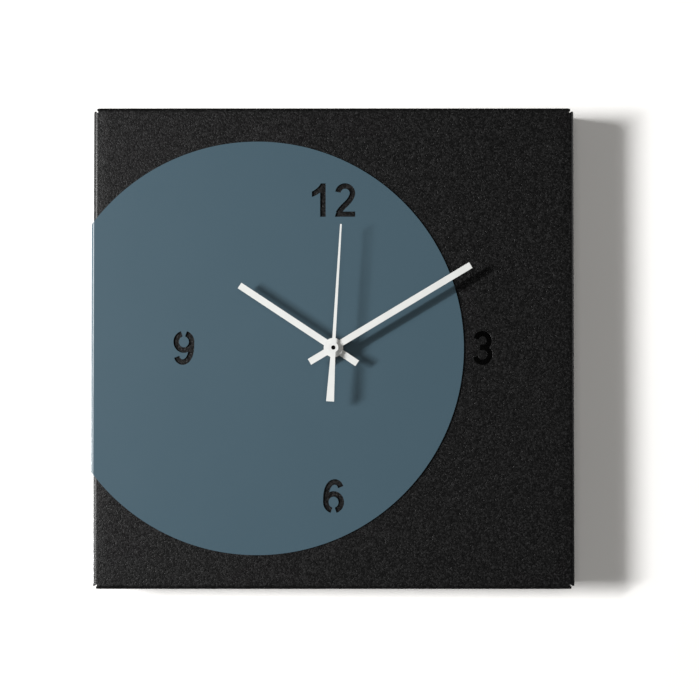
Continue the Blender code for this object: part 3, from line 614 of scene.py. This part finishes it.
resin = plastic("resin_black", (0.008, 0.008, 0.008), (0.014, 0.014, 0.014), 0.22, 0.36, 1.2, 0.02)
dark_tube = metal("blackened_tube", (0.004, 0.004, 0.004), (0.008, 0.008, 0.008), 0.35, 0.5)
copper = wound_wire()
circuit = circuit_green()
film = cell_film()


# Numerals


ONE = [
    (-15.8, 2.3),
    (-15.8, 6.2),
    (-14.2, 7.1),
    (-12.6, 8.2),
    (-11.3, 9.4),
    (-10.2, 10.7),
    (-9.3, 12.2),
    (-5.8, 12.2),
    (-5.8, -12.1),
    (-9.8, -12.1),
    (-9.8, 5.6),
    (-11.3, 4.5),
    (-13.4, 3.2),
]
TWO_SPINE = ellipse_arc((8.4, 5.1), 5.3, 5.2, 172, -18, 28)
two_stroke = [TWO_SPINE[-1], (12.6, 1.5), (11.2, -0.6), (9.1, -2.8), (6.8, -5.0), (4.7, -7.4), (3.3, -9.6)]
TWO_SPINE += smoothed(two_stroke)[1:]
TWO = [
    ribbon(TWO_SPINE, STROKE),
    [(0.9, -12.1), (15.7, -12.1), (15.7, -8.3), (4.9, -8.3), (1.8, -9.2)],
]
THREE = [
    ribbon(ellipse_arc((-0.3, 5.3), 4.8, 5.1, 166, -90, 36), STROKE),
    ribbon(ellipse_arc((-0.3, -4.9), 5.3, 5.5, 90, -166, 36), STROKE),
    rectangle(-2.3, 0.2, -1.6, 2.3),
]
SIX_STEM = [(-5.6, -4.4), (-5.55, -0.5), (-5.2, 2.8), (-4.4, 5.8), (-3.0, 8.3), (-1.1, 9.9), (1.0, 10.4)]
SIX_STEM += [(3.0, 9.8), (4.5, 8.3), (5.2, 6.5)]
SIX = [
    ribbon(ellipse_arc((0, -4.4), 5.6, 6.0, -90 + BRIDGE_HALF_ANGLE, 270 - BRIDGE_HALF_ANGLE, 56), STROKE),
    ribbon(smoothed(SIX_STEM), STROKE),
]
NINE = [turned_about(outline, 180) for outline in SIX]


def numeral_cutters(outlines, x, z, low, high):
    return [prism(shifted(outline, x, z), low, high) for outline in outlines]


def rivet_cutters():
    profile = ((165, 0), (165, RIVET_HOLE), (185, RIVET_HOLE), (185, 0))
    return [turned(profile, 32, "Z", (side * RIVET_X, RIVET_Y)) for side in (-1, 1)]


# Housing

bend_line = SIDE / 2 - BEND_OUTER
bend_arc = (BEND_OUTER - SHEET / 2) * math.pi / 2
flange_edge = bend_line + bend_arc + DEPTH - BEND_OUTER
step_out = bend_line + bend_arc + FLANGE_STEP
inner_corner = bend_line - CORNER_RELIEF
quarter = [
    (flange_edge, FLANGE_END),
    (step_out, FLANGE_END),
    (step_out, inner_corner),
    (inner_corner, inner_corner),
    (inner_corner, step_out),
    (FLANGE_END, step_out),
    (FLANGE_END, flange_edge),
]
pattern = []
for quarter_turn in (0, 90, 180, 270):
    pattern += turned_about(quarter, quarter_turn)
housing = prism(pattern, FRONT, FRONT + SHEET)
folded(housing, bend_line, BEND_OUTER, SHEET, FRONT, [(0, -1), (0, 1), (1, -1), (1, 1)])
bowed(housing, SIDE / 2, BOW_REACH, BOW_DROP)
combined(housing, cut=rivet_cutters())
rounded(housing, EDGE, 2, 50)
# The numeral and the bush hole are cut after the rounding, so that their edges stay crisp
housing_cuts = numeral_cutters(THREE, NUMERAL_REACH, 0, FRONT - 2, FRONT + 4)
housing_cuts.append(prism(circle(BUSH_RADIUS + 0.25, 48), FRONT - 2, FRONT + 4))
combined(housing, cut=housing_cuts)
dressed(
    housing, "housing_shell", black_coat, "clock_case", ["housing"],
    edge=0, angle=50, crisp=True,
)


# Dial disc

disc_back = FRONT - STACK_GAP
disc_front = disc_back - DISC_SHEET
disc = prism(circle(DISC_RADIUS, 360, (DISC_X, 0)), disc_front, disc_back)
disc_cuts = numeral_cutters([ONE] + TWO, 0, NUMERAL_RISE, disc_front - 2, disc_back + 2)
disc_cuts += numeral_cutters(SIX, 0, -NUMERAL_RISE, disc_front - 2, disc_back + 2)
disc_cuts += numeral_cutters(NINE, -NUMERAL_REACH, 0, disc_front - 2, disc_back + 2)
disc_cuts.append(prism(circle(BUSH_RADIUS + 0.2, 48), disc_front - 2, disc_back + 2))
combined(disc, cut=disc_cuts)
disc_bend_line = SIDE / 2 + STACK_GAP + DISC_SHEET - DISC_BEND_OUTER
folded(disc, disc_bend_line, DISC_BEND_OUTER, DISC_SHEET, disc_front, [(0, -1)])
dressed(disc, "dial_sheet", blue_coat, "clock_case", ["dial_disc"], angle=50)


# Hanger bracket and rivets

leg_z = SIDE / 2 - SHEET - STACK_GAP - HANGER_SHEET / 2
hook = [(-24.0, leg_z)]
hook += [along((-3.4, leg_z - 2.3), 2.3, 90 - 7.5 * k) for k in range(13)]
hook += [(-1.1, 141.0)]
hanger = prism(ribbon(hook, HANGER_SHEET), -HANGER_HALF, HANGER_HALF, "X")
keyhole_z = HANG_HEIGHT - KEYHOLE_DROP
slot = rectangle(-SLOT_HALF, SLOT_HALF, keyhole_z, HANG_HEIGHT + SLOT_HALF, 2.29, 12)
keyhole = [prism(circle(KEYHOLE_RADIUS, 48, (0, keyhole_z)), -10, 5), prism(slot, -10, 5)]
trims = []
for side in (-1, 1):
    trims.append(prism([(side * 26, 140), (side * 21, 140), (side * 26, 145)], -10, 5))
combined(hanger, cut=keyhole + trims + rivet_cutters())
dressed(hanger, "keyhole_bracket", zinc, "clock_case", ["hanger_bracket"], edge=0.15)
for side, label in ((-1, "left"), (1, "right")):
    top = SIDE / 2
    low = leg_z - HANGER_SHEET / 2
    dome = [(top + 0.1, 2.0), (top + 0.1, RIVET_HEAD)]
    for degrees in (15, 30, 45, 60, 75):
        turn = math.radians(degrees)
        dome.append((top + 0.1 + 0.9 * math.sin(turn), RIVET_HEAD * math.cos(turn)))
    tail = [(low - 1.2, 0), (low - 1.15, 1.2), (low - 0.9, 2.3)]
    tail += [(low - 0.4, 2.85), (low - 0.1, 2.9), (low - 0.1, 2.0)]
    rivet = turned(tail + dome + [(top + 1.0, 0)], 32, "Z", (side * RIVET_X, RIVET_Y))
    dressed(rivet, "rivet_" + label, steel, "clock_case", ["hanger_rivet_" + label], edge=0)


# What clamps the movement and the dial

thread_start = disc_front - 0.4
bush_profile = [(depth(1.55), BUSH_BORE), (depth(1.55), 5.2), (depth(1.25), 5.2), (depth(1.25), BUSH_RADIUS)]
bush_profile.append((thread_start, BUSH_RADIUS))
pitch = (thread_start - BUSH_TIP - 0.3) / THREADS
for k in range(THREADS):
    bush_profile.append((thread_start - pitch * (k + 0.12), BUSH_RADIUS))
    bush_profile.append((thread_start - pitch * (k + 0.45), BUSH_RADIUS - 0.3))
    bush_profile.append((thread_start - pitch * (k + 0.6), BUSH_RADIUS - 0.3))
    bush_profile.append((thread_start - pitch * (k + 0.95), BUSH_RADIUS))
bush_profile += [(BUSH_TIP, BUSH_RADIUS - 0.3), (BUSH_TIP, BUSH_BORE)]
bush = turned(bush_profile, 64)
dressed(bush, "brass_bush", brass, "clock_case", ["threaded_bush"], edge=0.05)

washer_front = disc_front - STACK_GAP - WASHER_SHEET
washer_back = washer_front + WASHER_SHEET
washer = turned(((washer_front, 4.2), (washer_front, 6.4), (washer_back, 6.4), (washer_back, 4.2)), 72)
dressed(washer, "brass_washer", brass, "clock_case", ["flat_washer"], edge=0.1)
nut_back = washer_front - STACK_GAP
nut = prism(circle(NUT_CORNER, 6, first=30), nut_back - NUT_HEIGHT, nut_back)
nut_edge = turned(
    (
        (nut_back - 3, 0),
        (nut_back - 3, 5.4),
        (nut_back - NUT_HEIGHT, 6.6),
        (nut_back - 1.8, 7.8),
        (nut_back - 0.6, 7.8),
        (nut_back, 6.7),
        (nut_back + 1, 5.0),
        (nut_back + 1, 0),
    ),
    96,
)
combined(nut, keep=(nut_edge,))
combined(nut, cut=(prism(circle(BUSH_RADIUS + 0.06, 64), -60, -30),))
dressed(nut, "brass_nut", brass, "clock_case", ["fixing_nut"], edge=0.08)


# Movement: case, cover, battery and knob, as they show from behind

case = prism(rectangle(-CASE_HALF, CASE_HALF, -CASE_HALF, CASE_HALF, 2.0), depth(0), depth(CASE_DEPTH))
bay = prism(rectangle(-CASE_HALF, CASE_HALF, -CASE_HALF, TRAIN_FLOOR, 2.0), depth(0.5), depth(BAY_DEPTH))
inner = CASE_HALF - CASE_WALL
pockets = [
    prism(rectangle(-inner, inner, TRAIN_FLOOR, inner, 1.0), depth(CASE_WALL), depth(30)),
    prism(rectangle(-inner, inner, -inner, BAY_TOP, 1.0), depth(CASE_WALL), depth(30)),
    prism(circle(BUSH_RADIUS + 0.12, 48), depth(-5), depth(5)),
]
for side in (-1, 1):
    pocket = rectangle(side * 26.35 - 0.45, side * 26.35 + 0.45, -13, -9)
    pockets.append(prism(pocket, depth(10.6), depth(30)))
combined(case, add=(bay,), cut=pockets)
# Where the train's arbors stand in the case
third_at = along(SHAFT, 11.25, 40.0)
fifth_at = along(SHAFT, 9.0, 150.0)
rotor_at = along(fifth_at, 8.75, 110.0)
minute_at = (0.0, KNOB_AT[1] / 2)
minute_pin = ((depth(0.8), 0), (depth(0.8), 0.65), (depth(4.0), 0.65), (depth(4.0), 0))
posts = [turned(minute_pin, 24, "Y", minute_at)]
pivots = []
# Each post: its place, radius and top, then where its hole ends and the hole's radius
tall = [(at, 1.8, 11.8, 6.5, 0.72) for at in ((-13.2, -8.3), (14.5, -8.3))]
tall += [(at, 1.5, 9.2, 5.5, 0.72) for at in ((-23.2, 22.6), (-3.8, 22.6))]
tall += [(at, 1.5, 12.1, 8.5, 0.72) for at in ((6.5, 23.9), (23.8, 23.9))]
tall += [(rotor_at, 1.5, 7.0, 5.6, 0.48)]
tall += [(third_at, 1.5, 2.6, 1.0, 0.58), (KNOB_AT, 1.8, 2.6, 1.0, 1.1)]
for at, radius, top, hole_bottom, hole in tall:
    profile = ((depth(0.8), 0), (depth(0.8), radius), (depth(top), radius), (depth(top), 0))
    posts.append(turned(profile, 24, "Y", at))
    profile = ((depth(hole_bottom), 0), (depth(hole_bottom), hole), (depth(30), hole), (depth(30), 0))
    pivots.append(turned(profile, 20, "Y", at))
combined(case, add=posts, cut=pivots)
dressed(case, "movement_shell", case_black, "clock_case", ["movement_case"], edge=0.15)

cover_outline = rectangle(-CASE_HALF, CASE_HALF, TRAIN_FLOOR + 0.1, CASE_HALF, 2.0)
cover = prism(cover_outline, depth(CASE_DEPTH + 0.1), depth(BAY_DEPTH))
lip = prism(rectangle(-26.6, 26.6, -10.3, 26.6, 0.9), depth(13.4), depth(15))
cover_cuts = [
    prism(rectangle(-26.1, 26.1, -9.8, 26.1, 0.6), depth(12), depth(CASE_DEPTH + 0.1)),
    prism(circle(1.35, 40, KNOB_AT), depth(10), depth(20)),
    prism(rectangle(-9, 9, -16, -7.9, 2.0), depth(15.2), depth(20)),
    turned(((depth(15.75), 5.4), (depth(15.75), 5.9), (depth(17), 6.1), (depth(17), 5.2)), 64, "Y", KNOB_AT),
    prism(rectangle(-24.5, 24.5, -7.0, 24.6, 1.5), depth(15.85), depth(17)),
]
ribs = []
for k in range(9):
    rib = rectangle(-20 + 5 * k, -19 + 5 * k, -4.0, 3.0, 0.45)
    ribs.append(prism(rib, depth(15.5), depth(16.0)))
combined(cover, add=(lip,), cut=cover_cuts)
combined(cover, add=ribs)
dressed(cover, "movement_lid", case_black, "clock_case", ["movement_cover"], edge=0.12)

can = [(-24.3, 0), (-24.3, 3.2), (-24.15, 3.5), (-24.1, 4.0), (-24.1, 5.9), (-24.2, 6.3), (-24.3, 6.6)]
can += [(-24.25, 6.9), (-24.0, 7.1), (-23.3, 7.1), (-23.25, 7.05)]
can += [(23.2, 7.05), (23.3, 7.1), (23.8, 7.1), (24.05, 6.95), (24.1, 6.7), (24.0, 6.4), (23.9, 6.0)]
can += [(23.9, 3.6), (24.0, 3.1), (24.2, 2.8), (25.5, 2.7), (25.8, 2.5), (25.9, 2.1), (25.9, 0)]
battery = turned(can, 72, "X", (depth(BATTERY_DEPTH), BATTERY_HEIGHT))
dressed(battery, "cell", film, "clock_case", ["battery"], edge=0)

coil_curve = bpy.data.curves.new("bay_spring", "CURVE")
coil_curve.dimensions = "3D"
coil_curve.bevel_depth = 0.22 * MM
coil_curve.bevel_resolution = 4
coil_curve.use_fill_caps = True
wire = coil_curve.splines.new("POLY")
wire.points.add(SPRING_POINTS - 1)
for k in range(SPRING_POINTS):
    share = k / (SPRING_POINTS - 1)
    radius = 4.6 - 2.3 * share
    turn = 2 * math.pi * 2.5 * share
    y = depth(BATTERY_DEPTH) + radius * math.cos(turn)
    z = BATTERY_HEIGHT + radius * math.sin(turn)
    wire.points[k].co = ((-25.8 + 1.2 * share) * MM, y * MM, z * MM, 1.0)
wire_object = linked("wire", coil_curve)
spring_mesh = evaluated(wire_object)
bpy.data.objects.remove(wire_object)
spring = linked("spring", spring_mesh)
dressed(spring, "bay_spring", nickel, "clock_case", ["battery_spring"], edge=0)

grip = []
for k in range(30):
    turn = 12.0 * k
    grip += [along(SHAFT, 4.58, turn - 2.6), along(SHAFT, 4.6, turn), along(SHAFT, 4.58, turn + 2.6)]
    grip += [along(SHAFT, 4.28, turn + 4.6), along(SHAFT, 4.28, turn + 7.4)]
knob = prism(grip, depth(16.4), depth(19.4))
knob_shaft = turned(((depth(1.3), 0), (depth(1.3), 1.0), (depth(17.0), 1.0), (depth(17.0), 0)), 32)
knob_gear = turned(((depth(3.1), 0), (depth(3.1), 1.8), (depth(4.1), 1.8), (depth(4.1), 0)), 28)
dish_profile = ((depth(18.8), 0), (depth(18.9), 2.4), (depth(19.1), 3.1), (depth(22), 3.4), (depth(22), 0))
knob_dish = turned(dish_profile, 64)
combined(knob, add=(knob_shaft, knob_gear), cut=(knob_dish,))
dressed(knob, "setting_knob_moulding", part_white, "setting_knob", ["set_knob"], KNOB_AT)


# Hands


def hand(outline, hub_radius, front, collet_back, collet_radius, bore, clock_angle):
    blade = prism(turned_about(outline, -clock_angle), front - HAND_SHEET, front)
    hub = prism(circle(hub_radius, 96), front - HAND_SHEET, front)
    collet = turned(
        ((front - 0.2, 0), (front - 0.2, collet_radius), (collet_back, collet_radius), (collet_back, 0)),
        56,
    )
    hole = prism(circle(bore, 56), -70, -30)
    return combined(blade, add=(hub, collet), cut=(hole,))


hour_outline = rectangle(-BLADE / 2, BLADE / 2, -HOUR_TAIL, HOUR_REACH)
hour_hand = hand(hour_outline, HUB_RADIUS, HOUR_HAND_Y, HOUR_COLLET_BACK, 3.3, 2.56, HOUR_ANGLE)
dressed(hour_hand, "hour_blade", hand_white, "hour_hand", ["hour_hand"], edge=0.1)
minute_outline = rectangle(-BLADE / 2, BLADE / 2, -MINUTE_TAIL, MINUTE_REACH)
minute_hand = hand(
    minute_outline, HUB_RADIUS, MINUTE_HAND_Y, MINUTE_COLLET_BACK, 2.4, 1.66, MINUTE_ANGLE
)
dressed(minute_hand, "minute_blade", hand_white, "minute_hand", ["minute_hand"], edge=0.1)
second_outline = [
    (-0.6, SECOND_REACH),
    (-1.25, 0.0),
    (-1.6, -3.0),
    (-2.85, -SECOND_TAIL),
    (2.85, -SECOND_TAIL),
    (1.6, -3.0),
    (1.25, 0.0),
    (0.6, SECOND_REACH),
]
second_hand = hand(
    second_outline, SECOND_HUB_RADIUS, SECOND_HAND_Y, SECOND_COLLET_BACK, 1.9, 0.53, SECOND_ANGLE
)
combined(second_hand, cut=(prism(circle(1.55, 64), -60, SECOND_HAND_Y + 0.5),))
# The tube's floor stands just in front of the arbor's tip, which ends 0.5 mm behind the hand's face
tube_profile = [(SECOND_HAND_Y - 0.5, 1.3), (SECOND_HAND_Y - 0.5, 1.42), (SECOND_HAND_Y - 0.4, 1.5)]
tube_profile += [(SECOND_HAND_Y + 0.45, 1.5), (SECOND_HAND_Y + 0.45, 0.0), (SECOND_HAND_Y + 0.05, 0.0)]
tube_profile += [(SECOND_HAND_Y + 0.05, 1.3)]
tube = turned(tube_profile, 64)
dressed(tube, "second_tube", dark_tube, "second_hand", [], edge=0)
dressed(second_hand, "second_blade", hand_white, "second_hand", ["second_hand"], edge=0.08)


# Nodes that keep their CAD shape

KEPT_NODES = (
    (rubber, ("rubber_gasket",)),
    (part_white, ("gear_bridge",)),
    (circuit, ("circuit_board",)),
    (resin, ("clock_chip",)),
    (amber, ("coil_bobbin",)),
    (copper, ("coil_winding",)),
    (core_steel, ("coil_core", "stator")),
    (nickel, ("quartz_crystal", "battery_positive_contact", "battery_negative_contact")),
    (ferrite, ("rotor_magnet",)),
    (steel, ("bridge_screw_left", "bridge_screw_right", "board_screw_left", "board_screw_right")),
    (steel, ("coil_screw_left", "coil_screw_right")),
    (gear_cream, ("rotor_pinion", "fifth_wheel", "second_wheel", "third_wheel", "centre_wheel")),
    (gear_cream, ("cannon_pinion", "minute_wheel", "hour_wheel")),
)
for finish, nodes in KEPT_NODES:
    for node in nodes:
        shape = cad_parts[node]
        shape.data.materials.clear()
        shape.data.materials.append(finish)


# Wall, light and camera

wall_mesh = bmesh.new()
corner_places = ((-1.2, -1.4), (1.2, -1.4), (1.2, 1.0), (-1.2, 1.0))
corners = [wall_mesh.verts.new((x, WALL_GAP * MM, z)) for x, z in corner_places]
wall_mesh.faces.new(corners)
wall = from_bmesh("wall", wall_mesh)
if wall.data.polygons[0].normal.y > 0:
    wall.data.flip_normals()
wall_finish = bpy.data.materials.new("wall_plaster")
wall_finish.use_nodes = True
tree = wall_finish.node_tree
shader = tree.nodes["Principled BSDF"]
output = tree.nodes["Material Output"]
shader.inputs["Roughness"].default_value = 0.9
shader.inputs["Specular IOR Level"].default_value = 0.0
coordinates = tree.nodes.new("ShaderNodeTexCoord").outputs["Object"]
tone = ramp(tree, noise(tree, coordinates, 180.0), ((0.3, (0.93, 0.925, 0.915)), (0.7, (0.945, 0.94, 0.93))))
# The wall lets light through, so the open back can be lit. The patch the clock covers is painted nearly
# black, a painted shade standing in for the clock's shadow on the wall, because that light would otherwise
# brighten what shows through the 3, which is cut through the housing
patch = tree.nodes.new("ShaderNodeSeparateXYZ")
tree.links.new(coordinates, patch.inputs["Vector"])
painted_shade_patch = 1.0
for side, middle in (("X", 0.0), ("Z", -HANG_HEIGHT * MM)):
    off = maths(tree, "ABSOLUTE", maths(tree, "SUBTRACT", patch.outputs[side], middle))
    painted_shade_patch = maths(tree, "MULTIPLY", painted_shade_patch, maths(tree, "LESS_THAN", off, (SIDE / 2 - PATCH_INSET) * MM))
# Painted shade: inside the patch the wall's colour is a near black
tree.links.new(blended(tree, painted_shade_patch, tone, (0.02, 0.02, 0.02)), shader.inputs["Base Color"])
# It shows only straight to the camera and only from the front, so that it doesn't hide the clock's back
seen = tree.nodes.new("ShaderNodeLightPath").outputs["Is Camera Ray"]
behind = tree.nodes.new("ShaderNodeNewGeometry").outputs["Backfacing"]
shown = maths(tree, "MULTIPLY", seen, maths(tree, "SUBTRACT", 1.0, behind))
# Far from the clock the wall fades into the white surroundings
away = tree.nodes.new("ShaderNodeVectorMath")
away.operation = "DISTANCE"
away.inputs[1].default_value = (0.0, 0.0, -HANG_HEIGHT * MM)
tree.links.new(coordinates, away.inputs[0])
fade = tree.nodes.new("ShaderNodeMapRange")
fade.interpolation_type = "SMOOTHSTEP"
fade.inputs["From Min"].default_value = FADE_START
fade.inputs["From Max"].default_value = FADE_END
fade.inputs["To Min"].default_value = 1.0
fade.inputs["To Max"].default_value = 0.0
tree.links.new(away.outputs["Value"], fade.inputs["Value"])
shown = maths(tree, "MULTIPLY", shown, fade.outputs["Result"])
clear = tree.nodes.new("ShaderNodeBsdfTransparent")
choice = tree.nodes.new("ShaderNodeMixShader")
tree.links.new(shown, choice.inputs[0])
tree.links.new(clear.outputs[0], choice.inputs[1])
tree.links.new(shader.outputs[0], choice.inputs[2])
tree.links.new(choice.outputs[0], output.inputs["Surface"])
wall.data.materials.append(wall_finish)


def area_light(name, place, target, width, height, power, colour=(1, 1, 1)):
    lamp = bpy.data.lights.new(name, "AREA")
    lamp.shape = "RECTANGLE"
    lamp.size = width
    lamp.size_y = height
    lamp.energy = power
    lamp.color = colour
    made = bpy.data.objects.new(name, lamp)
    bpy.context.scene.collection.objects.link(made)
    made.location = place
    toward = Vector(target) - Vector(place)
    made.rotation_euler = toward.to_track_quat("-Z", "Z").to_euler()
    made.visible_camera = False
    return made


centre_z = -HANG_HEIGHT * MM
aim = (0.0, -0.02, centre_z)
area_light("key_panel", (-2.36, -1.90, centre_z + 0.085), aim, 1.0, 0.80, 52.0, (1.0, 0.996, 0.99))
area_light("key_strip", (-2.36, -1.90, centre_z + 0.15), aim, 1.0, 0.12, 98.0, (1.0, 0.996, 0.99))
front_fill = area_light("front_fill", (0.1, -3.0, centre_z + 0.15), aim, 1.6, 1.6, 22.0, (1.0, 0.975, 0.935))
front_fill.visible_glossy = False
# The middles of these two stand behind the plane of the dial, so they light mostly the sides and the back
area_light("side_fill", (1.9, 0.45, centre_z + 0.5), aim, 1.4, 1.4, 9.0)
area_light("back_fill", (-2.1, 1.2, centre_z - 0.86), aim, 1.4, 1.4, 150.0)

world = bpy.data.worlds.new("studio")
bpy.context.scene.world = world
world.use_nodes = True
sky = world.node_tree
background = sky.nodes["Background"]
background.inputs["Color"].default_value = (1.0, 1.0, 1.0, 1.0)
straight = sky.nodes.new("ShaderNodeLightPath").outputs["Is Camera Ray"]
level = maths(sky, "MULTIPLY_ADD", straight, 1.0 - SKY_LIGHT, SKY_LIGHT)
sky.links.new(level, background.inputs["Strength"])

camera = bpy.data.cameras.new("camera")
camera.lens = 75.0
camera.sensor_width = 36.0
viewer = bpy.data.objects.new("camera", camera)
bpy.context.scene.collection.objects.link(viewer)
viewer.location = (0.0119, -1.0988, centre_z - 0.0200)
viewer.rotation_euler = (math.radians(90.0 + 1.0), 0.0, 0.0)
bpy.context.scene.camera = viewer
bpy.context.scene.view_settings.view_transform = "Standard"
